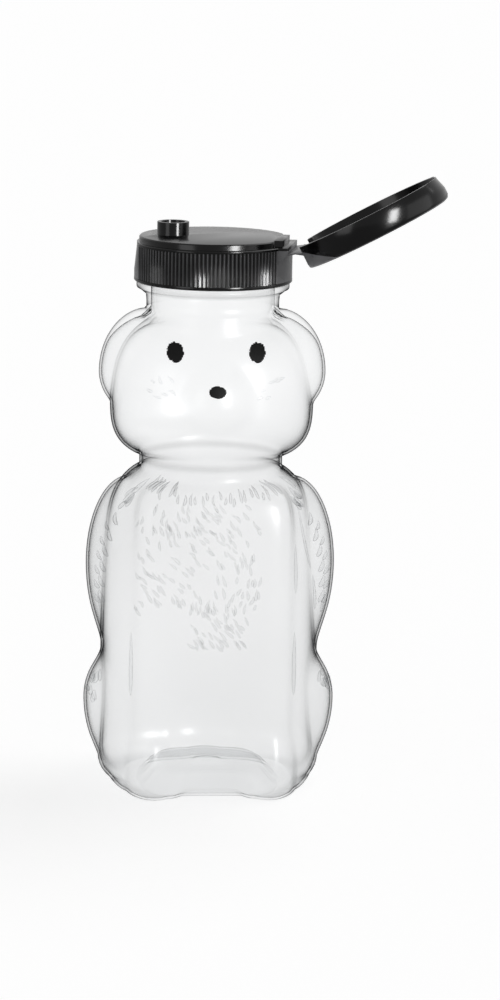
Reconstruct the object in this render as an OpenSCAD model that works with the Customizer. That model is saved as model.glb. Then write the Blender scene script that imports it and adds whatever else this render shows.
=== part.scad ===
// Squeeze bottle in the shape of a sitting bear, with a screw cap and a snap lid.
// The bear faces -Y, its base stands at z = 0 and the neck's axis is +Z.

/* [Trunk] */
// Half the width of the trunk at the waist
waist_half_w = 28.9; // [27:0.1:31]
// Reach of the trunk's rounded front corners
trunk_front = 24; // [22:0.5:27]
// Reach of the back
trunk_back = 25.5; // [23:0.5:28]
// Height where the shoulders close in under the chin
shoulder_z = 86.9; // [85:0.1:88]
// Half the width of the flat front panel
panel_half_w = 21.7; // [18:0.1:24]
// Reach of the flat front panel
panel_front = 25.4; // [24:0.1:28]
// Drop of that panel's top under the shoulders' top
panel_drop = 2.9; // [1:0.1:5]
// Radius round the bottom edge at the sides and back
base_round = 6.8; // [4:0.1:8]
// Radius round the bottom edge at the toes
toe_round = 2.6; // [2:0.1:5]
// Height of the trunk's widest place
trunk_mid_z = 40; // [34:1:46]
// Radius of the throat between head and trunk
throat_r = 19; // [17:0.25:21]

/* [Arms and legs] */
// Half the width of the bear over its arms
arms_half_w = 33.1; // [31:0.1:36]
// Height of the widest place of the arms
arm_z = 59.8; // [56:0.1:62]
// Half the width of the bear over its legs
legs_half_w = 33.5; // [31:0.1:36]
// Height of the widest place of the legs
leg_z = 22.9; // [20:0.1:25]
// Width of the gap between the two feet at the front
feet_gap = 18.8; // [12:0.2:24]
// Height of that gap above the ground
feet_gap_h = 1; // [0:0.1:1.6]
// Reach of the tail at the back
tail_back = 28; // [26:0.5:30]
// Height of the tail's top
tail_top = 20; // [14:0.5:26]

/* [Head] */
// Half the width of the head under the ears
head_half_w = 26.9; // [25:0.1:29]
// Reach of the face and of the back of the head
head_reach = 23.5; // [21:0.5:25]
// Height of the widest place of the head
head_z = 104.5; // [102:0.5:107]
// Half the width of the bear over its ears
ears_half_w = 29.95; // [28:0.05:33]
// Height of the middle of the ears
ear_z = 111; // [108:0.1:113]
// Depth of the chin under the widest place of the head
chin_drop = 17.2; // [16.5:0.1:19]
// Reach of the muzzle
muzzle_front = 28; // [26:0.1:30]
// Height of the middle of the muzzle
muzzle_z = 105; // [103:0.5:107]

/* [Printed face] */
// Distance of each eye from the middle
eye_x = 10.65; // [8:0.05:12]
// Height of the eyes
eye_z = 119; // [116:0.25:120]
// Width of an eye
eye_w = 4.6; // [3:0.1:6]
// Height of an eye
eye_h = 5.4; // [3:0.1:6]
// Height of the nose above the ground
nose_z = 109.5; // [107:0.25:111]
// Width of the nose
nose_w = 4.7; // [3:0.1:6]
// Height of the nose's print
nose_h = 3.3; // [2:0.1:4]
// Thickness of the printed ink
ink_t = 0.1; // [0.05:0.01:0.2]

/* [Bottle wall and neck] */
// Wall of the blown body
body_wall = 0.6; // [0.4:0.05:1]
// Height where the head ends and the moulded neck begins
neck_z = 127.4; // [127:0.1:129]
// Outer radius of the neck
neck_r = 17.5; // [17:0.05:18]
// Wall of the neck
neck_wall = 1.2; // [1:0.05:1.6]
// Height of the neck from the head to the rim
neck_h = 16.5; // [16:0.1:18]
// Outer radius of the support ring
bead_r = 20.15; // [19.5:0.05:20.6]
// Height of the support ring's upper face above the head
bead_top = 6.9; // [6:0.1:7]
// Thickness of the support ring's edge
bead_t = 1.3; // [0.8:0.1:2]
// Height of the shallow recess under the base
pushup_h = 4; // [2:0.25:6]
// Radius of the moulding gate's round in the middle of the recess
gate_r = 4; // [3:0.25:5]

/* [Thread] */
// Rise of the thread in one turn
pitch = 4.233; // [3.8:0.001:4.6]
// Height of the thread above the wall that carries it
thread_h = 1.2; // [0.9:0.05:1.25]
// Width of the thread at its foot
thread_foot = 2.1; // [1.6:0.05:2.3]
// Width of the thread at its crest
thread_crest = 0.8; // [0.5:0.05:1]
// Turns of thread on the neck
neck_turns = 1.1; // [0.9:0.05:1.2]
// Turns of thread in the cap
cap_turns = 1; // [0.8:0.05:1.1]
// Gap between the thread's crest and the wall opposite
thread_gap = 0.3; // [0.15:0.05:0.4]
// Gap between the thread's loaded flanks
flank_gap = 0.15; // [0.1:0.01:0.3]

/* [Cap] */
// Wall of the cap's skirt, without its ribs
skirt_wall = 1.45; // [1.2:0.05:1.8]
// Height of the grip ribs above the skirt
rib_h = 0.4; // [0.2:0.05:0.5]
// Number of places for grip ribs round the skirt
rib_places = 120; // [60:2:132]
// Gap between the skirt and the support ring
skirt_gap = 0.5; // [0.3:0.1:1]
// Thickness of the deck
deck_t = 1.8; // [1.4:0.05:2.2]
// Drop from the deck to the ledge that the lid rests on
ledge_drop = 1.6; // [1.3:0.05:2]
// Width of that ledge
ledge_w = 1.3; // [1:0.05:1.6]
// Thickness of the foam ring on the rim
seal_t = 0.9; // [0.6:0.05:1.2]
// Width of the foam ring
seal_w = 2.7; // [2:0.1:3.2]
// Gap between the foam ring and the deck
seal_gap = 0.1; // [0.05:0.01:0.2]
// Direction of the hinge from +X, turned about the neck
hinge_bearing = -12; // [-180:0.1:180]

/* [Spout] */
// Distance of the spout from the neck's axis
spout_x = 10.8; // [8:0.1:11]
// Radius of the spout's bore
spout_bore_r = 3.2; // [2.4:0.05:3.3]
// Wall of the spout
spout_wall = 1; // [0.7:0.05:1.2]
// Height of the spout above the deck
spout_h = 3.4; // [2:0.1:3.8]

/* [Lid] */
// Outer height of the lid
lid_h = 6.4; // [5.8:0.1:8]
// Wall of the lid
lid_wall = 1.2; // [0.9:0.05:1.3]
// Bevel round the lid's top
lid_bevel = 1.2; // [0.6:0.1:1.6]
// Gap between the shut lid and the deck's edge, and under its rim
lid_gap = 0.12; // [0.08:0.01:0.2]
// Angle of the lid in the photograph, counted from shut
lid_open = 152; // [90:0.1:175]
// Gap between the lid's plug and the spout's bore
plug_gap = 0.3; // [0.2:0.05:0.4]
// Depth of the plug in the bore of the spout
plug_depth = 2.2; // [1:0.1:2.4]
// Half the angle of the thumb notch in the lid and of the thumb rest on the skirt
thumb_angle = 28; // [15:1:35]
// Depth of the thumb rest under the ledge
thumb_depth = 0.7; // [0.4:0.05:0.9]
// Height of the thumb notch in the lid
notch_h = 3.4; // [2:0.1:4]

/* [Hinge] */
// Width of the hinge across the cap
hinge_w = 19; // [14:0.5:22]
// Distance of the line that the lid turns about from the outside of the cap
hinge_out = 0.45; // [0.3:0.05:1]
// Drop of that line under the ledge
hinge_drop = 0.38; // [0:0.02:1]
// Height of the shoulder's end, which carries the strap
shoulder_h = 2; // [1.6:0.1:3]
// Height of the gusset under that shoulder
gusset_h = 3; // [1.5:0.1:3.5]
// Half the width of the deck's tongue towards the hinge
tongue_half_w = 6.8; // [4:0.1:8]
// Distance of the tongue's end from the outside of the cap
tongue_inset = 1.58; // [1.5:0.02:2.4]
// Wall of the lid along the strap
rear_wall = 1.4; // [1:0.05:1.6]
// Height of the strap's root on the lid above the lid's rim
lid_root_h = 2.2; // [1.9:0.1:2.6]
// Thickness of the strap's ends
strap_t = 0.5; // [0.4:0.05:0.7]
// Thickness of the strap along its fold
fold_t = 0.35; // [0.3:0.05:0.5]
// Gap between the strap's end and the open lid
strap_gap = 0.06; // [0.04:0.01:0.1]

/* [Hidden] */
$fn = 96;
eps = 0.01;

// Places that follow from the sizes above
rim_z = neck_z + neck_h;
seal_bore_r = neck_r - seal_w;
skirt_z = neck_z + bead_top + skirt_gap;
crest_r = neck_r + thread_h;
skirt_in = crest_r + thread_gap;
cap_r = skirt_in + skirt_wall + rib_h;
cap_crest_r = neck_r + thread_gap;
seal_top = rim_z + seal_t;
deck_z = seal_top + seal_gap;
deck_top = deck_z + deck_t;
ledge_z = deck_top - ledge_drop;
plateau_r = cap_r - ledge_w;
lid_r = cap_r + 0.05;
lid_z = ledge_z + lid_gap;
lid_in = plateau_r + lid_gap;
hinge_x = cap_r + hinge_out;
hinge_z = ledge_z - hinge_drop;
tongue_x = cap_r - tongue_inset;
rear_x = sqrt(lid_r * lid_r - hinge_w * hinge_w / 4);
shoulder_x = cap_r + 0.05;
thread_top = rim_z - 2.3;

// Half sizes of the rounded forms: across, deep, up and down
ear_half = [13.4, 12, 16.9, 12.5];
arm_half = [11.3, 13.5, 23.2, 25];
leg_half = [14.9, 15, 15.6, 22.4];
foot_half = [8, 15.5, 19, 30];
muzzle_half = [11, 11, 12.6, 9.5];
tail_half = [13.6, 10, (tail_top - 4) / 0.68, 30];
// Their depth behind the neck's axis, or before it
ear_y = -2;
limb_y = -3;
foot_at = [16, -11.5, 7];

// Steps of the blown skin: bearings round it, and the heights of its rings
bearings = 48;
rings = concat(
    [for (z = [base_round + 0.6 : 3.3 : shoulder_z - 10.4]) z],
    [for (z = [shoulder_z - 9 : 1.3 : shoulder_z + 3.6]) z],
    [for (z = [shoulder_z + 5.4 : 2.8 : neck_z - 6.5]) z],
    [for (drop = [4.8, 3.2, 2, 1, 0.4, 0]) neck_z - drop]
);
foot_arc = [0, 20, 40, 60, 78];
base_shares = [0.36, 0.58, 0.7, 0.76, 0.82, 0.88, 0.95];
stand_share = 0.82;

// Two reaches joined, with a soft crease k wide where they cross
function soft_max(a, b, k) = max(a, b) + pow(max(k - abs(a - b), 0), 2) / (4 * k);
function soft_all(reach, k, i = 0, so_far = 0) =
    i == len(reach) ? so_far : soft_all(reach, k, i + 1, soft_max(so_far, reach[i], k));
function ease(t) = let (s = min(max(t, 0), 1)) s * s * (3 - 2 * s);

// Reach of a rounded box at a bearing, and how a form closes towards its end
function oval(a, w, d, n) = pow(pow(abs(sin(a)) / w, n) + pow(abs(cos(a)) / d, n), -1 / n);
function closing(t, p) = t >= 1 ? 0 : pow(1 - pow(max(t, 0), p), 1 / p);

// Reach, at bearing a and height z, of an ellipsoid centred at c.
// Its half sizes are s: across, deep, up and down.
function ball(a, z, c, s) =
    let (
        rise = (z - c[2]) / (z > c[2] ? s[2] : s[3]),
        u = [sin(a) / s[0], -cos(a) / s[1]],
        m = [c[0] / s[0], c[1] / s[1]],
        under = pow(u * m, 2) - (u * u) * (m * m - 1 + rise * rise)
    )
    abs(rise) >= 1 || under <= 0 ? 0 : max((u * m + sqrt(under)) / (u * u), 0);

function trunk(a, z) =
    closing((z - trunk_mid_z) / (shoulder_z - trunk_mid_z), 4.2)
    * oval(a, waist_half_w, cos(a) > 0 ? trunk_front : trunk_back, 2.9);
function panel(a, z) =
    cos(a) <= 0 ? 0
    : closing((z - trunk_mid_z) / (shoulder_z - panel_drop - trunk_mid_z), 8)
        * oval(a, panel_half_w, panel_front, 9);
function head(a, z) =
    (z > head_z ? closing((z - head_z) / (neck_z - head_z), 2.5) : closing((head_z - z) / chin_drop, 3.5))
    * oval(a, head_half_w, head_reach, 2.3);
function ear(a, z) =
    ball(a, z, [ears_half_w - ear_half[0], ear_y, ear_z], ear_half);
function arm(a, z) =
    ball(a, z, [arms_half_w - arm_half[0], limb_y, arm_z], arm_half);
function leg(a, z) =
    ball(a, z, [legs_half_w - leg_half[0], limb_y, leg_z], leg_half);
function foot(a, z) =
    ball(a, z, foot_at, foot_half);
function muzzle(a, z) =
    ball(a, z, [0, muzzle_half[1] - muzzle_front, muzzle_z], muzzle_half);
function tail(a, z) =
    ball(a, z, [0, tail_back - tail_half[1], 4], tail_half);

// Reach of the whole skin at bearing a and height z
function reach(bearing, z) =
    let (a = abs(bearing))
    soft_all([
        z < head_z ? throat_r : neck_r + 0.4, trunk(a, z), panel(a, z), head(a, z),
        ear(a, z), arm(a, z), leg(a, z), foot(a, z), muzzle(a, z), tail(a, z)
    ], 1);

// Radius round the bottom edge, smaller at the toes than at the sides and back
function edge_round(bearing) =
    base_round + (toe_round - base_round) * ease((cos(bearing) - 0.3) / 0.4);

// The gap between the feet lifts the bottom edge at the front
function lift(bearing) =
    let (x = reach(bearing, base_round) * sin(abs(bearing)))
    abs(bearing) > 90 ? 0 : feet_gap_h * (1 - ease((x - feet_gap / 2 + 2) / 4));
function on_bearing(bearing, r, z) = [r * sin(bearing), -r * cos(bearing), z];
function bottom_z(share) =
    pushup_h * (1 - ease((share - 0.6) / (stand_share - 0.6)));

// Rings of the outer skin, from the gate in the middle of the base up to the neck
function skin_ring(bearing) =
    let (far = reach(bearing, base_round), edge = edge_round(bearing))
    concat(
        [on_bearing(bearing, gate_r, pushup_h)],
        [for (share = base_shares)
            on_bearing(bearing, share * (far - edge),
                bottom_z(share) + (share >= stand_share ? lift(bearing) : 0))],
        [for (turn = foot_arc)
            on_bearing(bearing, far - edge * (1 - sin(turn)),
                edge * (1 - cos(turn)) + lift(bearing) * (1 - turn / 90))],
        [for (z = rings) on_bearing(bearing, reach(bearing, z), z)]
    );
skin = [for (j = [0 : bearings - 1]) skin_ring(j * 360 / bearings - 180)];
ring_count = len(skin[0]);

// The wall grows from the blown body to the moulded neck
function wall_at(z) = body_wall + (neck_wall + 0.7 - body_wall) * ease((z - neck_z + 9) / 9);
function outward(j, i) =
    let (
        round_it = skin[(j + 1) % bearings][i] - skin[(j + bearings - 1) % bearings][i],
        up_it = skin[j][min(i + 1, ring_count - 1)] - skin[j][max(i - 1, 0)],
        n = cross(round_it, up_it)
    )
    n / norm(n);
function inside_point(j, i) =
    let (p = skin[j][i])
    i == 0 ? p + [0, 0, body_wall]
    : i == ring_count - 1 ? on_bearing(j * 360 / bearings - 180, neck_r - neck_wall - 0.3, neck_z)
    : p - outward(j, i) * wall_at(p[2]);

module blown_body() {
    outer = [for (i = [0 : ring_count - 1], j = [0 : bearings - 1]) skin[j][i]];
    inner = [for (i = [0 : ring_count - 1], j = [0 : bearings - 1]) inside_point(j, i)];
    shift = ring_count * bearings;
    top = (ring_count - 1) * bearings;
    sides = [for (i = [0 : ring_count - 2], j = [0 : bearings - 1])
        let (k = (j + 1) % bearings, a = i * bearings + j, b = i * bearings + k, c = b + bearings, d = a + bearings)
        each [[a, c, b], [a, d, c]]];
    polyhedron(
        points = concat(outer, inner),
        faces = concat(
            sides,
            [for (t = sides) [t[0] + shift, t[2] + shift, t[1] + shift]],
            [for (j = [0 : bearings - 1])
                let (k = (j + 1) % bearings)
                [top + j, top + j + shift, top + k + shift, top + k]],
            [[for (j = [0 : bearings - 1]) j]],
            [[for (j = [bearings - 1 : -1 : 0]) j + shift]]
        ),
        convexity = 8
    );
}

// A helical ridge on a wall of radius r. Its height points outwards, or inwards where h is negative.
module ridge(r, h, foot_w, crest_w, turns) {
    steps = ceil(turns * 60);
    root = r - sign(h) * 0.3;
    section = [for (n = [0 : steps])
        let (
            turn = n * turns / steps,
            full = ease(min(n, steps - n) / 5),
            crest = r + h * full - sign(h) * 0.15 * (1 - full),
            low = crest_w / 2 * (0.4 + 0.6 * full),
            base = foot_w / 2 * (0.6 + 0.4 * full)
        )
        each [for (q = [[root, -base], [crest, -low], [crest, low], [root, base]])
            [q[0] * cos(360 * turn), q[0] * sin(360 * turn), q[1] + pitch * turn]]];
    flip = h > 0;
    function facing(f) = flip ? f : [for (m = [len(f) - 1 : -1 : 0]) f[m]];
    polyhedron(
        points = section,
        faces = concat(
            [for (n = [0 : steps - 1], m = [0 : 3])
                let (a = 4 * n + m, b = 4 * n + (m + 1) % 4)
                each [facing([a, b, b + 4]), facing([a, b + 4, a + 4])]],
            [facing([3, 2, 1, 0])],
            [facing([for (m = [0 : 3]) 4 * steps + m])]
        ),
        convexity = 6
    );
}

module neck_finish() {
    bead_z = neck_z + bead_top;
    slope = bead_r - neck_r;
    rotate_extrude()
        polygon([
            [neck_r - neck_wall, neck_z], [neck_r, neck_z],
            [neck_r, bead_z - bead_t - slope / 2], [bead_r, bead_z - bead_t], [bead_r, bead_z],
            [neck_r, bead_z], [neck_r, rim_z - 0.5], [neck_r - 0.5, rim_z],
            [neck_r - neck_wall, rim_z]
        ]);
    translate([0, 0, thread_top - pitch * neck_turns])
        ridge(neck_r, thread_h, thread_foot, thread_crest, neck_turns);
}

// Clear plastic bottle: blown bear and moulded neck in one piece
module bottle() color([0.86, 0.9, 0.92, 0.45]) {
    blown_body();
    neck_finish();
}

// A round print that follows the skin
module print_spot(x, z, w, h) {
    rows = 2;
    sides = 20;
    function spot(u, v, out) =
        let (
            px = x + u * w / 2,
            pz = z + v * h / 2,
            bearing = asin(px / reach_at(px, pz)),
            p = on_bearing(bearing, reach(bearing, pz), pz),
            da = on_bearing(bearing + 1, reach(bearing + 1, pz), pz) - p,
            dz = on_bearing(bearing, reach(bearing, pz + 0.3), pz + 0.3) - p,
            n = cross(da, dz)
        )
        p + n / norm(n) * out;
    layer = [for (out = [0.05, 0.05 + ink_t])
        each concat([spot(0, 0, out)],
            [for (r = [1 : rows], s = [0 : sides - 1])
                spot(r / rows * cos(s * 360 / sides), r / rows * sin(s * 360 / sides), out)])];
    half = 1 + rows * sides;
    one_side = concat(
        [for (s = [0 : sides - 1]) [0, 1 + s, 1 + (s + 1) % sides]],
        [for (r = [0 : rows - 2], s = [0 : sides - 1])
            let (k = (s + 1) % sides, a = 1 + r * sides + s, b = 1 + r * sides + k)
            each [[a, a + sides, b + sides], [a, b + sides, b]]]
    );
    rim = 1 + (rows - 1) * sides;
    polyhedron(
        points = layer,
        faces = concat(
            one_side,
            [for (f = one_side) [f[2] + half, f[1] + half, f[0] + half]],
            [for (s = [0 : sides - 1])
                let (a = rim + s, b = rim + (s + 1) % sides)
                each [[a, a + half, b + half], [a, b + half, b]]]
        )
    );
}
// Reach of the skin where it passes through the given x at the front
function reach_at(x, z, r = 24, n = 0) =
    n == 8 ? r : reach_at(x, z, reach(asin(x / r), z), n + 1);

module left_eye() color([0.05, 0.05, 0.05]) print_spot(eye_x, eye_z, eye_w, eye_h);
module right_eye() color([0.05, 0.05, 0.05]) print_spot(-eye_x, eye_z, eye_w, eye_h);
module nose() color([0.05, 0.05, 0.05]) print_spot(0.001, nose_z, nose_w, nose_h);

// Foam ring on the bottle's rim, under the cap's deck
module seal_ring() color([0.9, 0.9, 0.88])
    rotate_extrude()
        polygon([
            [seal_bore_r, rim_z], [neck_r, rim_z], [neck_r, seal_top], [seal_bore_r, seal_top]
        ]);

// Outline of the ribbed skirt, smooth at the thumb rest and behind the hinge
module rib_outline() {
    flat_r = cap_r - rib_h;
    plain = asin(hinge_w / 2 / cap_r) + 1;
    crest = rib_h - 0.05;
    function out(n) =
        let (a = abs(n * 180 / rib_places - 180))
        n % 2 == 1 || a < plain || a > 180 - thumb_angle ? crest : 0;
    polygon([for (n = [0 : 2 * rib_places - 1])
        (flat_r + out(n)) * [cos(n * 180 / rib_places - 180), sin(n * 180 / rib_places - 180)]]);
}

module cap_shell() {
    rib_top = ledge_z - 0.7;
    rib_low = skirt_z + 0.9;
    flat_r = cap_r - rib_h;
    corner = 1;
    difference() {
        union() {
            rotate_extrude()
                polygon([
                    [0, skirt_z], [cap_r - 0.3, skirt_z], [cap_r, skirt_z + 0.3], [cap_r, rib_low],
                    [flat_r - 0.1, rib_low], [flat_r - 0.1, rib_top], [cap_r, rib_top],
                    [cap_r, ledge_z - 0.2], [cap_r - 0.2, ledge_z], [plateau_r, ledge_z],
                    [plateau_r, deck_top - 0.3], [plateau_r - 0.3, deck_top], [0, deck_top]
                ]);
            translate([0, 0, rib_low - eps])
                linear_extrude(rib_top - rib_low + 2 * eps)
                    rib_outline();
            hinge_shoulder();
            translate([0, -tongue_half_w, ledge_z - 0.5])
                cube([tongue_x, 2 * tongue_half_w, deck_top - ledge_z + 0.5]);
        }
        translate([0, 0, skirt_z - 1])
            cylinder(r = skirt_in, h = deck_z - corner - skirt_z + 1);
        translate([0, 0, deck_z - corner])
            cylinder(r1 = skirt_in, r2 = skirt_in - corner, h = corner);
        // The thumb rest slopes in towards the lid
        rotate(180 - thumb_angle)
            rotate_extrude(angle = 2 * thumb_angle)
                polygon([
                    [cap_r - thumb_depth, ledge_z + 1], [cap_r + 1, ledge_z + 1],
                    [cap_r + 1, skirt_z + 1.5], [cap_r + 0.1, skirt_z + 1.5], [cap_r - thumb_depth, ledge_z - 1]
                ]);
        // The deck ends in a straight edge at the hinge, and stands back for the lid beside its tongue
        translate([tongue_x, -hinge_w, ledge_z])
            cube([hinge_w, 2 * hinge_w, ledge_drop + 1]);
        for (low = [tongue_half_w, -hinge_w])
            translate([rear_x - rear_wall - lid_gap, low, ledge_z])
                cube([hinge_w, hinge_w - tongue_half_w, ledge_drop + 1]);
    }
}

// The shoulder that carries the strap, with its gusset sloping back to the skirt
module hinge_shoulder() {
    outline = [
        [cap_r - 3, ledge_z], [shoulder_x, ledge_z], [shoulder_x, ledge_z - shoulder_h],
        [cap_r - 3, ledge_z - shoulder_h - gusset_h]
    ];
    translate([0, hinge_w / 2, 0])
        rotate([90, 0, 0])
            linear_extrude(hinge_w)
                polygon(outline);
}

// Screw cap with its deck, spout and hinge shoulder
module cap() color([0.07, 0.07, 0.08]) {
    rotate(hinge_bearing)
        difference() {
            union() {
                cap_shell();
                translate([-spout_x, 0, deck_top - deck_t / 2])
                    cylinder(r = spout_bore_r + spout_wall, h = spout_h + deck_t / 2);
            }
            translate([-spout_x, 0, deck_z - 1])
                cylinder(r = spout_bore_r, h = deck_t + spout_h + 2);
        }
    cap_thread();
}

// The cap's thread lies under the neck's, with its loaded flank close to it
module cap_thread() {
    cap_foot = thread_foot * 0.8;
    cap_crest = thread_crest * 0.9;
    share = thread_gap / thread_h;
    drop = thread_foot / 2 * (1 - share) + thread_crest / 2 * share + cap_crest / 2 + flank_gap;
    low = thread_top - pitch * neck_turns;
    start = skirt_z + 1.4;
    turn = (start - (low - drop)) / pitch;
    rotate(turn * 360)
        translate([0, 0, start])
            ridge(skirt_in, cap_crest_r - skirt_in, cap_foot, cap_crest, cap_turns);
}

// Places a piece that is drawn shut at the angle that the lid has
module opened()
    rotate(hinge_bearing)
        translate([hinge_x, 0, hinge_z])
            rotate([0, lid_open, 0])
                translate([-hinge_x, 0, -hinge_z])
                    children();

module lid_shut() {
    lid_top = lid_z + lid_h;
    ceiling = lid_top - lid_wall;
    plug_r = spout_bore_r - plug_gap;
    plug_low = deck_top + spout_h - plug_depth;
    difference() {
        union() {
            difference() {
                rotate_extrude()
                    polygon([
                        [0, lid_z], [lid_r, lid_z], [lid_r, lid_top - lid_bevel],
                        [lid_r - lid_bevel * 0.35, lid_top - lid_bevel * 0.3], [lid_r - lid_bevel, lid_top],
                        [0, lid_top]
                    ]);
                intersection() {
                    translate([0, 0, lid_z - 1])
                        cylinder(r = lid_in, h = ceiling - lid_z + 1);
                    translate([-lid_r, -lid_r, lid_z - 1])
                        cube([lid_r + rear_x - rear_wall, 2 * lid_r, lid_h]);
                }
                rotate(180 - thumb_angle)
                    rotate_extrude(angle = 2 * thumb_angle)
                        polygon([
                            [lid_in + 0.35, lid_z - 1], [lid_r + 1, lid_z - 1],
                            [lid_r + 1, lid_z + notch_h], [lid_r, lid_z + notch_h],
                            [lid_in + 0.35, lid_z + 0.4]
                        ]);
            }
            translate([-spout_x, 0, 0])
                rotate_extrude()
                    polygon([
                        [plug_r - 1.3, plug_low], [plug_r - 0.5, plug_low], [plug_r, plug_low + 0.8],
                        [plug_r, ceiling + 0.2], [plug_r - 1.3, ceiling + 0.2]
                    ]);
            translate([-spout_x, 0, ceiling - 2.4])
                rotate_extrude()
                    translate([spout_bore_r + spout_wall + 0.8, 0])
                        square([0.8, 2.6]);
        }
        // Cut straight at the hinge, with room for the deck's tongue
        translate([rear_x, -lid_r, lid_z - 1])
            cube([lid_r, 2 * lid_r, lid_h + 2]);
        translate([rear_x - lid_r / 2, -tongue_half_w - lid_gap, lid_z - 1])
            cube([lid_r, 2 * (tongue_half_w + lid_gap), ledge_drop + 1]);
    }
}

// Snap lid, with the plug that shuts the spout
module lid() color([0.07, 0.07, 0.08])
    opened()
        lid_shut();

// Thin strap that folds between the cap and the lid, laid as the open lid holds it
module hinge_strap() color([0.2, 0.2, 0.21]) {
    root = [shoulder_x - hinge_x, ledge_z - shoulder_h + strap_t / 2 - hinge_z];
    turn = [[cos(lid_open), sin(lid_open)], [-sin(lid_open), cos(lid_open)]];
    far = turn * [rear_x + strap_gap - hinge_x, lid_z + lid_root_h - hinge_z];
    way = (far - root) / norm(far - root);
    across = [-way[1], way[0]];
    middle = (root + far) / 2 + across * 0.3;
    face = turn * [0, strap_t / 2];
    rotate(hinge_bearing)
        translate([hinge_x, hinge_w / 2 - 0.2, hinge_z])
            rotate([90, 0, 0])
                linear_extrude(hinge_w - 0.4)
                    polygon([
                        root - [0, strap_t / 2], middle - across * fold_t / 2, far + face,
                        far - face, middle + across * fold_t / 2, root + [0, strap_t / 2]
                    ]);
}

bottle();
left_eye();
right_eye();
nose();
seal_ring();
cap();
hinge_strap();
lid();
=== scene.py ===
import math

import bpy
import numpy as np
from mathutils import Matrix, Vector


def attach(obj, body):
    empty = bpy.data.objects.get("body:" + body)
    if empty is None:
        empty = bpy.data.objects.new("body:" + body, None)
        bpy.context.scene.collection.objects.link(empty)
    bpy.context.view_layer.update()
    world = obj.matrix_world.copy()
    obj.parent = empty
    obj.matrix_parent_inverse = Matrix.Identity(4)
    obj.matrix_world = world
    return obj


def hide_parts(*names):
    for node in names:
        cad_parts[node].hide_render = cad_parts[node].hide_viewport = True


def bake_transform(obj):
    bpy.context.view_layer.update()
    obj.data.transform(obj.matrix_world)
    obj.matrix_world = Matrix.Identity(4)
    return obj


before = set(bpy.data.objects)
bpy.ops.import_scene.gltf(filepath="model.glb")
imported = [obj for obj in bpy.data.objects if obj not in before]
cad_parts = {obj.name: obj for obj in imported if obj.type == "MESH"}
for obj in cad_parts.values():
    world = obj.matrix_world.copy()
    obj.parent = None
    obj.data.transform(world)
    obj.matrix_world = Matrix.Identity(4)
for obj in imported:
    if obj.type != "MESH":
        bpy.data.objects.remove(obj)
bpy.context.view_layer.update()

bpy.ops.object.select_all(action='DESELECT')


# --- Bear bottle ---
# The real one is blown in clear PET against a two-part mould, in one piece with its moulded neck.
# A grid is wrapped into its outer skin, over the rim and down the inside, so the wall is closed.
# Sizes are in millimetres, as in the part's source, and are made metres at the end.
HEAD_Z, NECK_Z, RIM_Z = 104.5, 127.4, 143.9
NECK_R, BEAD_R, BEAD_Z = 17.5, 20.15, 134.3
BODY_WALL, NECK_WALL = 0.6, 1.2
PUSHUP, GATE_R, EDGE_ROUND, TOE_ROUND, FEET_GAP = 4.0, 4.0, 6.8, 2.6, 18.8


def ease(t):
    t = np.clip(t, 0, 1)
    return t * t * (3 - 2 * t)


def oval(bearing, half_w, reach_y, power):
    across = np.abs(np.sin(bearing)) / half_w
    ahead = np.abs(np.cos(bearing)) / reach_y
    return (across ** power + ahead ** power) ** (-1 / power)


def closing(t, power):
    return (1 - np.clip(t, 0, 1) ** power) ** (1 / power)


def lobe(bearing, z, centre, half):
    """Reach of an egg-shaped lobe: half sizes across, deep, up and down."""
    rise = (z - centre[2]) / np.where(z > centre[2], half[2], half[3])
    u = np.stack([np.sin(bearing) / half[0], -np.cos(bearing) / half[1]])
    m = (centre[0] / half[0], centre[1] / half[1])
    um = u[0] * m[0] + u[1] * m[1]
    uu = u[0] ** 2 + u[1] ** 2
    under = um ** 2 - uu * (m[0] ** 2 + m[1] ** 2 - 1 + rise ** 2)
    far = (um + np.sqrt(np.maximum(under, 0))) / uu
    return np.where((np.abs(rise) < 1) & (under > 0), np.maximum(far, 0), 0)


def skin_reach(bearing, z, crease=0.8):
    """Distance of the skin from the neck's axis, in the direction that bearing gives, 0 being the face."""
    b = np.abs((bearing + math.pi) % (2 * math.pi) - math.pi)
    front = np.cos(b) > 0
    throat = np.where(z < HEAD_Z, 19.0, NECK_R + 0.4)
    trunk = closing((z - 40) / 46.9, 4.2) * np.where(front, oval(b, 28.9, 24, 2.9), oval(b, 28.9, 25.5, 2.9))
    panel = np.where(front, closing((z - 40) / 44, 8) * oval(b, 21.7, 25.4, 7.5), 0)
    crown = closing((z - HEAD_Z) / (NECK_Z - HEAD_Z), 2.5)
    chin = closing((HEAD_Z - z) / 17.2, 3.5)
    head = np.where(z > HEAD_Z, crown, chin) * oval(b, 26.9, 23.5, 2.3)
    # each form, and the width over which it blends into those before it
    forms = [
        (throat, crease), (trunk, crease), (panel, 2.2), (head, crease),
        (lobe(b, z, (16.55, -2, 111), (13.4, 12, 16.9, 12.5)), crease),  # ear
        (lobe(b, z, (21.8, -3, 59.8), (11.3, 13.5, 23.2, 25)), 2.6),  # arm
        (lobe(b, z, (18.6, -3, 22.9), (14.9, 15, 15.6, 22.4)), 2.6),  # leg
        (lobe(b, z, (16, -11.5, 7), (8, 15.5, 19, 30)), crease),  # foot
        (lobe(b, z, (0, -17, 105), (11, 11, 12.6, 9.5)), 1.6),  # muzzle
        (lobe(b, z, (0, 18, 4), (13.6, 10, 23.5, 30)), crease),  # tail
    ]
    far = np.zeros_like(b)
    for form, soft in forms:
        far = np.maximum(far, form) + np.maximum(soft - np.abs(far - form), 0) ** 2 / (4 * soft)
    return far


def on_bearing(bearing, far, z):
    return np.stack([far * np.sin(bearing), -far * np.cos(bearing), z], -1)


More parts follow.
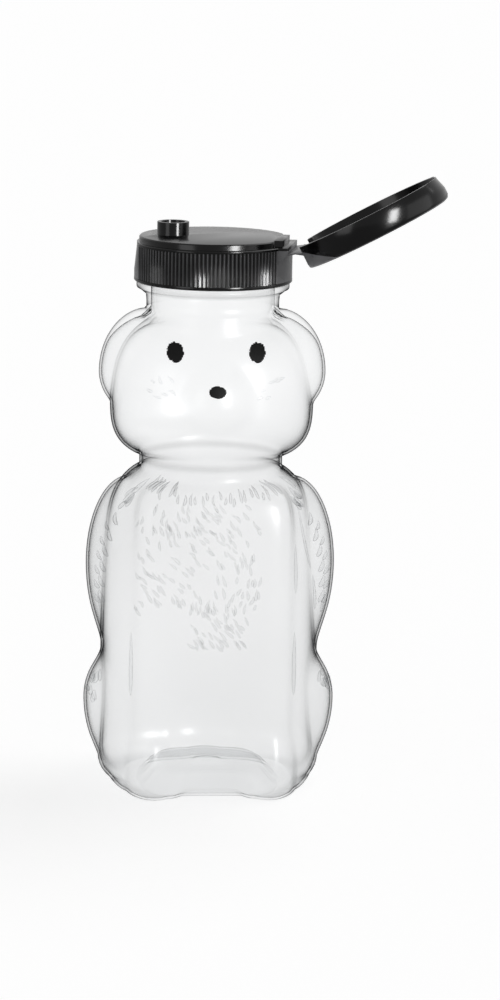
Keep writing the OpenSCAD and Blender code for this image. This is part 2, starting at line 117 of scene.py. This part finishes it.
BEARINGS = 264
turns = np.linspace(-math.pi, math.pi, BEARINGS + 1)
foot = skin_reach(turns, np.full_like(turns, EDGE_ROUND))
edge = EDGE_ROUND + (TOE_ROUND - EDGE_ROUND) * ease((np.cos(turns) - 0.3) / 0.4)
feet_lift = np.where(np.abs(turns) < math.pi / 2,
                     1 - ease((np.abs(foot * np.sin(turns)) - FEET_GAP / 2 + 2) / 4), 0)
rows = []
for share in (0.0, 0.5, 0.94, 1.0):
    gate_z = PUSHUP + 0.35 * (share < 0.97)
    rows.append(on_bearing(turns, np.full_like(turns, GATE_R * share), np.full_like(turns, gate_z)))
for share in np.linspace(0.24, 0.96, 19):
    z = PUSHUP * (1 - ease(np.array((share - 0.6) / 0.22)))
    z = z + feet_lift * ease(np.array((share - 0.74) / 0.08))
    rows.append(on_bearing(turns, share * (foot - edge), z))
for turn in np.radians(np.linspace(0, 80, 9)):
    rows.append(on_bearing(turns, foot - edge * (1 - math.sin(turn)),
                           edge * (1 - math.cos(turn)) + feet_lift * (1 - turn / (math.pi / 2))))
heights = np.concatenate([np.arange(7.0, 76, 0.8), np.arange(76, 92, 0.5), np.arange(92, 122.5, 0.7),
                          np.arange(122.6, NECK_Z + 0.01, 0.4)])
for z in heights:
    rows.append(on_bearing(turns, skin_reach(turns, np.full_like(turns, z)), np.full_like(turns, z)))
skin = np.array(rows)
round_it = np.roll(skin[:, :-1], -1, 1) - np.roll(skin[:, :-1], 1, 1)
round_it = np.concatenate([round_it, round_it[:, :1]], 1)
up_it = np.gradient(skin, axis=0)
outward = np.cross(round_it, up_it)
outward /= np.maximum(np.linalg.norm(outward, axis=2, keepdims=True), 1e-9)
outward[:4] = (0, 0, -1)
wall = BODY_WALL + (NECK_WALL + 0.7 - BODY_WALL) * ease((skin[..., 2:] - NECK_Z + 9) / 9)
inside = skin - outward * wall
# the neck's outline, up its outside, over the rim and down its bore
finish = [
    (NECK_R, 127.5), (NECK_R, 129.6), (NECK_R + 0.15, 131.4), (19.6, 133.0), (20.05, 133.15),
    (BEAD_R, 133.4), (BEAD_R, 134.1), (20.0, BEAD_Z), (NECK_R + 0.2, BEAD_Z), (NECK_R, BEAD_Z + 0.2),
    (NECK_R, 139), (NECK_R, 143.3), (NECK_R - 0.2, 143.75), (NECK_R - 0.5, RIM_Z),
    (NECK_R - NECK_WALL + 0.2, RIM_Z), (NECK_R - NECK_WALL, 143.7), (NECK_R - NECK_WALL, 136),
    (NECK_R - NECK_WALL, 128),
]
neck_rows = [on_bearing(turns, np.full_like(turns, r), np.full_like(turns, z)) for r, z in finish]
sheet = np.concatenate([skin, np.array(neck_rows), inside[::-1][::2], inside[:1]])

bpy.ops.mesh.primitive_grid_add(x_subdivisions=BEARINGS, y_subdivisions=len(sheet) - 1, size=1)
bear = bpy.context.object
bear.name = bear.data.name = "bear_bottle"
assert len(bear.data.vertices) == sheet.shape[0] * sheet.shape[1]
bear.data.vertices.foreach_set("co", (sheet / 1000).astype(np.float32).ravel())
bear.data.update()
bpy.ops.object.mode_set(mode='EDIT')
bpy.ops.mesh.select_all(action='SELECT')
bpy.ops.mesh.remove_doubles(threshold=2e-6)
bpy.ops.mesh.normals_make_consistent(inside=False)
bpy.ops.object.mode_set(mode='OBJECT')
bpy.ops.object.shade_smooth()
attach(bear, "bottle")
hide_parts("bottle")


class Wire:
    """A socket of a material, on which arithmetic adds Math nodes."""

    def __init__(self, look, socket):
        self.look, self.socket = look, socket

    def _math(self, operation, first, second=0.0):
        return self.look.node('ShaderNodeMath', {'operation': operation}, {0: first, 1: second})[0]

    def __add__(self, other): return self._math('ADD', self, other)
    def __radd__(self, other): return self._math('ADD', other, self)
    def __sub__(self, other): return self._math('SUBTRACT', self, other)
    def __rsub__(self, other): return self._math('SUBTRACT', other, self)
    def __mul__(self, other): return self._math('MULTIPLY', self, other)
    def __rmul__(self, other): return self._math('MULTIPLY', other, self)
    def __truediv__(self, other): return self._math('DIVIDE', self, other)
    def __pow__(self, other): return self._math('POWER', self, other)


class Look:
    """A new material and its nodes."""

    def __init__(self, name):
        self.material = bpy.data.materials.new(name)
        self.material.use_nodes = True
        self.tree = self.material.node_tree
        self.tree.nodes.clear()

    def node(self, kind, settings=None, inputs=None):
        """Adds a node: settings first, a ramp's stops among them, then its sockets' values or links."""
        node = self.tree.nodes.new(kind)
        for key, value in (settings or {}).items():
            if key == 'stops':
                ramp = node.color_ramp.elements
                while len(ramp) < len(value):
                    ramp.new(0.5)
                for element, (place, shade) in zip(ramp, value):
                    element.position, element.color = place, (shade, shade, shade, 1)
            else:
                setattr(node, key, value)
        for key, value in (inputs or {}).items():
            if isinstance(value, Wire):
                self.tree.links.new(value.socket, node.inputs[key])
            else:
                node.inputs[key].default_value = value
        return Outputs(self, node)

    def finish(self, shader):
        out = self.tree.nodes.new('ShaderNodeOutputMaterial')
        self.tree.links.new(shader.socket, out.inputs['Surface'])
        return self.material


class Outputs:
    """The outputs of a node, by name or number."""

    def __init__(self, look, node):
        self.look, self.node = look, node

    def __getitem__(self, key):
        return Wire(self.look, self.node.outputs[key])


def dress(piece, material):
    """Puts one material on a piece."""
    piece.data.materials.clear()
    piece.data.materials.append(material)


# the height, in millimetres, of which the painted dark lines' places are shares
LINES_SPAN = 152.0


# Clear PET passes light straight through. Seen edge on, the real wall shows the dark room in place of the
# white behind it, so outlines, creases and the fur's sides come out as dark lines. Here that darkness is a
# painted reflection: a dark shader mixed in for camera rays as the wall turns edge on.
def pet_look(name, side_dark, side_power):
    """Clear PET. The last two values say how dark its painted edge shade is and how narrow that darkness is.
    """
    pet = Look(name)
    place = pet.node('ShaderNodeTexCoord')['Object']
    flow = pet.node('ShaderNodeTexNoise', {}, {'Vector': place, 'Scale': 55.0, 'Detail': 2.0})['Fac']
    drift = pet.node('ShaderNodeTexNoise', {}, {'Vector': place, 'Scale': 28.0, 'Detail': 1.0})['Fac']
    ripple = pet.node('ShaderNodeBump', {}, {'Height': flow, 'Strength': 0.25, 'Distance': 0.0006})['Normal']
    edge_on = pet.node('ShaderNodeLayerWeight', {}, {'Blend': 0.5, 'Normal': ripple})['Facing']
    ray = pet.node('ShaderNodeLightPath')
    parts = pet.node('ShaderNodeSeparateXYZ', {}, {0: place})
    height = parts['Z'] * 1000
    far = (parts['X'] ** 2.0 + parts['Y'] ** 2.0) ** 0.5 * 1000
    # the trunk's wall is a little greyer than the head's
    haze = pet.node('ShaderNodeMapRange', {'interpolation_type': 'SMOOTHSTEP'}, {
        'Value': height, 'From Min': 106.0, 'From Max': 80.0, 'To Min': 0.3, 'To Max': 1.0})['Result']
    # painted light: the painted edge shade is weaker at the sole and at the feet's rim, standing in for the
    # light that the real base brings through
    above_sole = pet.node('ShaderNodeMapRange', {}, {
        'Value': height, 'From Min': 5.0, 'From Max': 9.0, 'To Min': 0.12, 'To Max': 1.0})['Result']
    feet_rim = pet.node('ShaderNodeMapRange', {}, {
        'Value': far, 'From Min': 22.0, 'From Max': 26.0, 'To Min': 0.0, 'To Max': 0.9})['Result']
    edge_shade_share = pet.node('ShaderNodeMath', {'operation': 'MAXIMUM'}, {0: above_sole, 1: feet_rim})[0]
    # painted shade: dark lines in the throat's crease and along the neck's bead
    throat_crease_shade = [(0.568, 0.0), (0.576, 0.5), (0.586, 0.0)]
    bead_shade_lines = [(0.869, 0.0), (0.8735, 1.0), (0.8775, 0.15), (0.882, 0.5), (0.884, 0.0)]
    painted_shade_lines = pet.node('ShaderNodeValToRGB', {'stops': throat_crease_shade + bead_shade_lines}, {
        0: height / LINES_SPAN})['Color']
    # painted reflection: the wall is darkened as it turns edge on, standing in for the dark room that the
    # real wall shows
    sides = 0.06 * edge_on ** 2.0 + side_dark * edge_on ** side_power
    seen = haze * (0.012 + 0.05 * drift) + sides * edge_shade_share + 0.2 * painted_shade_lines
    dark = ray['Is Camera Ray'] * seen + 0.05 * ray['Is Shadow Ray']
    clear = pet.node('ShaderNodeBsdfTransparent', {}, {'Color': (0.993, 0.995, 0.996, 1)})['BSDF']
    shine = pet.node('ShaderNodeBsdfPrincipled', {}, {
        'Base Color': (1, 1, 1, 1), 'Metallic': 1.0, 'Roughness': 0.3, 'Normal': ripple})['BSDF']
    # the painted dark room, a dark shader mixed in where the wall is edge on
    painted_dark_room = pet.node('ShaderNodeBsdfPrincipled', {}, {
        'Base Color': (0.03, 0.031, 0.033, 1), 'Roughness': 0.9, 'Specular IOR Level': 0.0,
        'Normal': ripple})['BSDF']
    glossed = pet.node('ShaderNodeMixShader', {}, {0: 0.009, 1: clear, 2: shine})['Shader']
    return pet.finish(pet.node('ShaderNodeMixShader', {}, {0: dark, 1: glossed, 2: painted_dark_room})['Shader'])


dress(bear, pet_look("clear_pet", 1.6, 8.0))


# --- Moulded fur and creases ---
# Cut in the mould as short tapered strokes: a collar under the chin, the cheeks, the edges of the
# shoulders, arms and legs, and a whirl over the back. Longer ones run along the edges of the front
# panel and the insides of the arms. They stand on the skin, in the same plastic.
fur = np.random.default_rng(38)
STROKES = []


def stroke(bearing, z, length, tilt, width, depth, curl=0.0):
    """One stroke: its middle, its length, its slope from upright in degrees, and its bow."""
    STROKES.append((math.radians(bearing), z, length, math.radians(tilt), width, depth, curl))


def fur_patch(count, bearings, heights, length, width, depth, slope, spread=12.0):
    """Scatters strokes over a patch. The slope, in degrees from upright, may be a function of place."""
    for n in range(count):
        share = (n + fur.uniform(0.15, 0.85)) / count
        bearing = bearings[0] + (bearings[1] - bearings[0]) * share
        low, high = heights(bearing) if callable(heights) else heights
        z = fur.uniform(low, high)
        tilt = slope(bearing, z) if callable(slope) else slope
        stroke(bearing, z, length * fur.uniform(0.7, 1.3), tilt + fur.normal(0, spread),
               width * fur.uniform(0.8, 1.2), depth * fur.uniform(0.7, 1.2), fur.normal(0, 0.08))


def collar_heights(bearing):
    middle = 80.5 + 0.0017 * bearing ** 2
    return middle - 0.9, middle + 0.9


def whirl_slope(bearing, z):
    return 12 + 30 * math.sin((bearing + 213) / 23 + z / 9)


def whirl_tip_slope(bearing, z):
    return 20 + 25 * math.sin(z / 4)


# the collar under the chin
fur_patch(26, (-48, 42), collar_heights, 2.6, 0.62, 0.4, lambda b, z: 0.25 * b, 6)
for side in (-1, 1):
    # shoulder
    fur_patch(7, (side * 55, side * 62), (77, 83), 3.6, 0.55, 0.6, side * -35)
    # two rows down the edge of the arm, and its tip
    for step in range(6):
        stroke(side * (62 + step * 0.9), 73.5 - 4.2 * step, 3.6, side * 28, 0.7, 0.75, side * 0.12)
        stroke(side * (66 + step * 0.8), 71.5 - 4.0 * step, 2.8, side * 38, 0.5, 0.6, side * 0.12)
    stroke(side * 69, 50.5, 5.5, side * 4, 0.5, 0.4)
    # thigh
    fur_patch(9, (side * 69, side * 78), (24, 31), 2.8, 0.55, 0.7, side * 30)
    # cheek
    fur_patch(7, (side * 26, side * 44), (106.5, 112), 2.4, 0.6, 0.08, side * 62)
    # the panel's edge between the legs
    stroke(side * 46.3, 36, 17, 0, 0.5, 0.6)
# the panel's edge and the two creases inside the bear's left arm
stroke(46.8, 61.5, 13, 0, 0.45, 0.5)
stroke(57, 70, 19, -3, 0.5, 0.36, -0.05)
stroke(61, 54, 10, -12, 0.6, 0.4)
# the whirl over the back, and its tip
fur_patch(150, (-213, -140), (40, 69), 2.7, 0.65, 0.1, whirl_slope)
fur_patch(50, (-206, -172), (29, 41), 2.7, 0.65, 0.1, whirl_tip_slope)

bpy.ops.object.select_all(action='DESELECT')
bpy.ops.mesh.primitive_uv_sphere_add(segments=8, ring_count=10, radius=1)
fur_piece = bpy.context.object
fur_piece.name = fur_piece.data.name = "moulded_fur"
unit = np.array([v.co for v in fur_piece.data.vertices])
facets = [tuple(p.vertices) for p in fur_piece.data.polygons]
bearing, z, length, tilt, width, depth, curl = (np.array(column)[:, None] for column in zip(*STROKES))
aside, along, out = unit[:, 0], unit[:, 2], unit[:, 1]
taper = 1 - 0.3 * along
u = aside * taper * width / 2 + curl * length * (1 - along ** 2)
v = along * length / 2
far = skin_reach(bearing, z, 0.8)
b = bearing + (u * np.cos(tilt) + v * np.sin(tilt)) / far
h = z + v * np.cos(tilt) - u * np.sin(tilt)


def skin_point(b, z):
    return on_bearing(b, skin_reach(b, z), z)


middle = skin_point(b, h)
normal = np.cross(skin_point(b + 0.01, h) - middle, skin_point(b, h + 0.2) - middle)
normal /= np.linalg.norm(normal, axis=2, keepdims=True)
# the whirl's shallow strokes are sunk, so that their sides slope gently
sunk = np.where(depth < 0.15, 0.6 * depth, 0)
tufts = (middle + normal * (out * taper * depth - sunk)[..., None]) / 1000
fur_piece.data.clear_geometry()
fur_piece.data.from_pydata(
    tufts.reshape(-1, 3).tolist(), [],
    [tuple(corner + n * len(unit) for corner in facet) for n in range(len(STROKES)) for facet in facets])
bpy.ops.object.mode_set(mode='EDIT')
bpy.ops.mesh.select_all(action='SELECT')
bpy.ops.mesh.normals_make_consistent(inside=False)
bpy.ops.object.mode_set(mode='OBJECT')
bpy.ops.object.shade_smooth()
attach(fur_piece, "bottle")
dress(fur_piece, pet_look("clear_pet_fur", 0.9, 3.0))


# --- Thread of the neck ---
# One turn of screw thread, moulded with the neck and hidden under the cap. A strip of ridge is
# wrapped along its helix, and let into the neck's wall.
PITCH, THREAD_TOP, THREAD_TURNS = 4.233, 141.6, 1.1
steps = 120
profile = [(-0.3, -1.05), (1.05, -0.45), (1.2, -0.3), (1.2, 0.3), (1.05, 0.45), (-0.3, 1.05), (-0.3, -1.05)]
strip = []
for n in range(steps + 1):
    turn = n / steps * THREAD_TURNS
    full = float(ease(np.array(min(n, steps - n) / 9)))
    for out, up in profile:
        r = NECK_R + (out if out < 0 else out * full - 0.15 * (1 - full))
        strip.append((r * math.cos(math.tau * turn), r * math.sin(math.tau * turn),
                      THREAD_TOP - PITCH * (THREAD_TURNS - turn) + up * (0.6 + 0.4 * full)))
bpy.ops.mesh.primitive_grid_add(x_subdivisions=len(profile) - 1, y_subdivisions=steps, size=1)
thread = bpy.context.object
thread.name = thread.data.name = "neck_thread"
thread.data.vertices.foreach_set("co", (np.array(strip) / 1000).astype(np.float32).ravel())
bpy.ops.object.mode_set(mode='EDIT')
bpy.ops.mesh.select_all(action='SELECT')
bpy.ops.mesh.remove_doubles(threshold=2e-6)
bpy.ops.mesh.select_all(action='DESELECT')
bpy.ops.mesh.select_non_manifold()
bpy.ops.mesh.fill_holes(sides=8)
bpy.ops.mesh.select_all(action='SELECT')
bpy.ops.mesh.normals_make_consistent(inside=False)
bpy.ops.object.mode_set(mode='OBJECT')
bpy.ops.object.shade_smooth_by_angle(angle=math.radians(50))
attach(thread, "bottle")
dress(thread, bear.data.materials[0])


# --- Printed eyes and nose ---
# Screen-printed black ink. The screen leaves the eyes' edges stepped and their ink in fine rows,
# with slits where it missed. A round grid is laid just over the skin.
def print_on_skin(name, node, x, z, width, height, material):
    bpy.ops.object.select_all(action='DESELECT')
    bpy.ops.mesh.primitive_grid_add(x_subdivisions=40, y_subdivisions=40, size=2)
    ink = bpy.context.object
    ink.name = ink.data.name = name
    flat = np.array([v.co for v in ink.data.vertices])
    # the square grid is rounded into a disc
    px = x + flat[:, 0] * np.sqrt(1 - flat[:, 1] ** 2 / 2) * width / 2
    pz = z + flat[:, 1] * np.sqrt(1 - flat[:, 0] ** 2 / 2) * height / 2
    r = np.full_like(px, 24.0)
    for _ in range(8):
        r = skin_reach(np.arcsin(px / r), pz)
    b = np.arcsin(px / r)
    here = skin_point(b, pz)
    out = np.cross(skin_point(b + 0.01, pz) - here, skin_point(b, pz + 0.2) - here)
    here = here + out / np.linalg.norm(out, axis=1, keepdims=True) * 0.05
    ink.data.vertices.foreach_set("co", (here / 1000).astype(np.float32).ravel())
    ink.data.update()
    solid = ink.modifiers.new("film", 'SOLIDIFY')
    solid.thickness, solid.offset = 0.0001, 1
    bpy.ops.object.modifier_apply(modifier="film")
    bpy.ops.object.shade_smooth_by_angle(angle=math.radians(40))
    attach(ink, "bottle")
    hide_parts(node)
    dress(ink, material)
    return ink


def ink_look(name, x, z, width, height, step, slits):
    """Black ink within a stepped oval, with slits along its rows. Sizes are in millimetres."""
    look = Look(name)
    parts = look.node('ShaderNodeSeparateXYZ', {}, {0: look.node('ShaderNodeTexCoord')['Object']})

    def stepped(distance):
        return look.node('ShaderNodeMath', {'operation': 'SNAP'}, {0: distance, 1: step})[0] + step / 2

    across = stepped(parts['X'] * 1000 - x)
    up = stepped(parts['Z'] * 1000 - z)
    u, w = across / (width / 2), up / (height / 2)
    far = (u * u + w * w) ** 0.5
    grain = look.node('ShaderNodeTexNoise', {}, {
        'Vector': look.node('ShaderNodeCombineXYZ', {}, {0: across * 0.9, 1: up * 4.1, 2: 0.0})[0],
        'Scale': 1.0, 'Detail': 1.0})['Fac']
    ragged = far + (grain - 0.5) * 0.35
    edge = look.node('ShaderNodeMath', {'operation': 'LESS_THAN'}, {0: ragged, 1: 0.95})[0]
    solid = look.node('ShaderNodeMath', {'operation': 'LESS_THAN'}, {0: grain, 1: 1 - slits})[0]
    shader = look.node('ShaderNodeBsdfPrincipled', {}, {
        'Base Color': (0.006, 0.006, 0.006, 1), 'Roughness': 0.6, 'Specular IOR Level': 0.1,
        'Alpha': edge * solid})['BSDF']
    return look.finish(shader)


EYE_X, EYE_SPOT, EYE_STEP, EYE_SLITS = 10.65, (118.6, 4.6, 5.1), 0.28, 0.3
NOSE_SPOT, NOSE_STEP = (109.5, 4.7, 3.3), 0.12
left_ink = ink_look("eye_ink_left", EYE_X, *EYE_SPOT, EYE_STEP, EYE_SLITS)
print_on_skin("print_left_eye", "left_eye", EYE_X, *EYE_SPOT, left_ink)
right_ink = ink_look("eye_ink_right", -EYE_X, *EYE_SPOT, EYE_STEP, EYE_SLITS)
print_on_skin("print_right_eye", "right_eye", -EYE_X, *EYE_SPOT, right_ink)
nose_ink = ink_look("nose_ink", 0, *NOSE_SPOT, NOSE_STEP, 0.0)
print_on_skin("print_nose", "nose", 0.001, *NOSE_SPOT, nose_ink)


# --- Closure ---
# One shot of black polypropylene: cap, strap and lid. The part's own solids have the right shape,
# so copies of them get their edges rounded as the mould's are.
def softened(node, name, width, angle=32):
    """A copy of a node with its facets joined and its edges rounded."""
    bpy.ops.object.select_all(action='DESELECT')
    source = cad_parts[node]
    piece = bpy.data.objects.new(name, source.data.copy())
    piece.data.name = name
    piece.data.transform(source.matrix_world)
    bpy.context.collection.objects.link(piece)
    bpy.context.view_layer.objects.active = piece
    piece.select_set(True)
    bpy.ops.object.mode_set(mode='EDIT')
    bpy.ops.mesh.select_all(action='SELECT')
    bpy.ops.mesh.remove_doubles(threshold=2e-6)
    bpy.ops.mesh.customdata_custom_splitnormals_clear()
    bpy.ops.mesh.dissolve_limited(angle_limit=math.radians(0.6))
    bpy.ops.object.mode_set(mode='OBJECT')
    bevel = piece.modifiers.new("soft edges", 'BEVEL')
    bevel.width, bevel.segments, bevel.limit_method = width, 2, 'ANGLE'
    bevel.angle_limit = math.radians(angle)
    bpy.ops.object.modifier_apply(modifier="soft edges")
    bpy.ops.object.shade_smooth_by_angle(angle=math.radians(35))
    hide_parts(node)
    return piece


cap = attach(softened("cap", "screw_cap", 0.00007), "cap")
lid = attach(softened("lid", "snap_lid", 0.0002), "lid")

# The strap is cut across in narrow bands along its length, where the real strap folds
strap = softened("hinge_strap", "living_hinge", 0.00008)
HINGE_BEARING = math.radians(-12)
STRAP_ROOT, BAND, BANDS = 0.0209, 0.00033, 12
across = Vector((math.cos(HINGE_BEARING), math.sin(HINGE_BEARING), 0))
bpy.ops.object.mode_set(mode='EDIT')
for n in range(1, BANDS):
    bpy.ops.mesh.select_all(action='SELECT')
    bpy.ops.mesh.bisect(plane_co=across * (STRAP_ROOT + BAND * n), plane_no=across)
bpy.ops.object.mode_set(mode='OBJECT')
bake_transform(strap)


RIB_FOOT_R, RIB_CREST_R, RIBS_MIDDLE, RIBS_HALF = 0.0206, 0.0208, 0.1401, 0.0043


def black_look(name, rough, grain_scale, grain_depth):
    """Glossy black polypropylene with a faint moulded grain and flow marks, and a painted highlight on the
    crests of the skirt's ribs.
    """
    look = Look(name)
    place = look.node('ShaderNodeTexCoord')['Object']
    grain = look.node('ShaderNodeTexNoise', {}, {'Vector': place, 'Scale': grain_scale, 'Detail': 3.0})['Fac']
    flow_marks_and_sheen = look.node('ShaderNodeTexNoise', {}, {'Vector': place, 'Scale': 90.0, 'Detail': 2.0})['Fac']
    normal = look.node('ShaderNodeBump', {}, {
        'Height': grain, 'Strength': 0.3, 'Distance': grain_depth})['Normal']
    # painted highlight: the crests of the skirt's ribs are made paler, in patches, standing in for the light
    # that they catch
    parts = look.node('ShaderNodeSeparateXYZ', {}, {0: place})
    far = (parts['X'] ** 2.0 + parts['Y'] ** 2.0) ** 0.5
    crest = look.node('ShaderNodeMapRange', {}, {
        'Value': far, 'From Min': RIB_FOOT_R, 'From Max': RIB_CREST_R,
        'To Min': 0.0, 'To Max': 1.0})['Result']
    skirt = look.node('ShaderNodeMath', {'operation': 'COMPARE'}, {
        0: parts['Z'], 1: RIBS_MIDDLE, 2: RIBS_HALF})[0]
    painted_rib_highlight = crest * skirt * flow_marks_and_sheen
    colour = look.node('ShaderNodeMix', {'data_type': 'RGBA'}, {
        'Factor': painted_rib_highlight, 'A': (0.002, 0.002, 0.0022, 1), 'B': (0.3, 0.3, 0.31, 1)})['Result']
    shader = look.node('ShaderNodeBsdfPrincipled', {}, {
        'Base Color': colour, 'Roughness': rough + 0.08 * flow_marks_and_sheen + 0.2 * painted_rib_highlight,
        'Specular IOR Level': 0.2, 'Normal': normal})['BSDF']
    return look.finish(shader)


black = black_look("black_pp", 0.14, 2500.0, 0.00002)
for piece in (cap, lid, strap):
    dress(piece, black)

# --- Seal ring ---
# The liner of white foam between the rim and the cap's deck, punched from sheet
foam = Look("liner_foam")
cells = foam.node('ShaderNodeTexVoronoi', {}, {
    'Vector': foam.node('ShaderNodeTexCoord')['Object'], 'Scale': 2200.0})['Distance']
foam_normal = foam.node('ShaderNodeBump', {}, {
    'Height': cells, 'Strength': 0.4, 'Distance': 0.00005})['Normal']
dress(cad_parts["seal_ring"], foam.finish(foam.node('ShaderNodeBsdfPrincipled', {}, {
    'Base Color': (0.86, 0.86, 0.84, 1), 'Roughness': 0.65, 'Normal': foam_normal})['BSDF']))

# --- Stage, lamps and camera ---
# A white floor under a white sky, with a wide sun from the back right. The soft boxes show only as
# reflections: the lid's white band, the spout's and the ledge's highlights, and sheen on the ribs.
bpy.ops.object.select_all(action='DESELECT')
bpy.ops.mesh.primitive_plane_add(size=60)
floor = bpy.context.object
floor.name = "white_floor"
white = Look("white_floor")
ray = white.node('ShaderNodeLightPath')
matt = white.node('ShaderNodeBsdfDiffuse', {}, {'Color': (0.8, 0.8, 0.8, 1)})['BSDF']
seen = white.node('ShaderNodeMath', {'operation': 'MAXIMUM'}, {
    0: ray['Is Camera Ray'], 1: ray['Is Transmission Ray']})[0]
glow = white.node('ShaderNodeEmission', {}, {'Color': (1, 1, 1, 1), 'Strength': 0.46 * seen})['Emission']
dress(floor, white.finish(white.node('ShaderNodeAddShader', {}, {0: matt, 1: glow})['Shader']))

world = bpy.data.worlds.new("white_studio")
bpy.context.scene.world = world
world.use_nodes = True
nodes, links = world.node_tree.nodes, world.node_tree.links
nodes.clear()
path = nodes.new('ShaderNodeLightPath')
sky = nodes.new('ShaderNodeBackground')
sky.inputs['Color'].default_value = (1, 1, 1, 1)
# each kind of ray sees a sky of its own brightness
strength = nodes.new('ShaderNodeValue').outputs[0]
strength.default_value = 0.4
for kind, seen in (('Is Glossy Ray', 0.8), ('Is Transmission Ray', 1.0), ('Is Camera Ray', 1.0)):
    pick = nodes.new('ShaderNodeMapRange')
    links.new(path.outputs[kind], pick.inputs['Value'])
    links.new(strength, pick.inputs['To Min'])
    pick.inputs['To Max'].default_value = seen
    strength = pick.outputs[0]
links.new(strength, sky.inputs['Strength'])
out = nodes.new('ShaderNodeOutputWorld')
links.new(sky.outputs[0], out.inputs['Surface'])


def lamp(name, kind, place, aim, power, width, height=None):
    """A sun, whose width is the angle that it fills in degrees, or a soft box that shows only in gloss."""
    bpy.ops.object.light_add(type=kind, location=place)
    light = bpy.context.object
    light.name = name
    light.data.energy = power
    if kind == 'SUN':
        light.data.angle = math.radians(width)
    else:
        light.data.shape, light.data.size, light.data.size_y = 'RECTANGLE', width, height
        light.visible_diffuse = False
    light.rotation_euler = (Vector(aim) - Vector(place)).to_track_quat('-Z', 'Y').to_euler()


lamp("soft_sun", 'SUN', (0.55, 0.3, 0.9), (0, 0, 0), 1.0, 40)
lamp("tall_box", 'AREA', (0.358, -0.625, 0.28), (0.06, -0.015, 0.15), 9.0, 0.16, 0.32)
lamp("low_box", 'AREA', (0.33, -0.62, 0.065), (0, -0.015, 0.1), 0.15, 0.16, 0.11)
lamp("side_box", 'AREA', (0.7, -0.2, 0.24), (0, 0, 0.14), 1.2, 0.6, 0.46)
lamp("left_box", 'AREA', (-0.5, -0.5, 0.24), (0, 0, 0.14), 1.2, 0.3, 0.46)

# The camera's place was fitted to the cap, neck, bead and base in the photograph
AZIMUTH, PITCH_DOWN, ROLL = map(math.radians, (-4.0623, 11.3865, -0.9011))
FOCAL_PX, AWAY, HIGH, ASIDE = 3539.03, 0.925, 0.2622651, 0.0106262
right = Vector((math.cos(AZIMUTH), math.sin(AZIMUTH), 0))
level = Vector((-math.sin(AZIMUTH), math.cos(AZIMUTH), 0))
forward = level * math.cos(PITCH_DOWN) - Vector((0, 0, math.sin(PITCH_DOWN)))
upward = right.cross(forward)
screen_x = right * math.cos(ROLL) - upward * math.sin(ROLL)
screen_y = upward * math.cos(ROLL) + right * math.sin(ROLL)
bpy.ops.object.camera_add()
camera = bpy.context.object
camera.matrix_world = Matrix.Translation(level * -AWAY + right * ASIDE + Vector((0, 0, HIGH))) @ Matrix(
    (screen_x, screen_y, -forward)).transposed().to_4x4()
camera.data.sensor_fit = 'VERTICAL'
camera.data.sensor_height = 36
camera.data.lens = 36 * FOCAL_PX / 1000
camera.data.clip_start = 0.01
# room for rays that cross many faces of the clear walls
bpy.context.scene.cycles.transparent_max_bounces = 32
bpy.context.scene.camera = camera
bpy.context.scene.view_settings.view_transform = 'Standard'
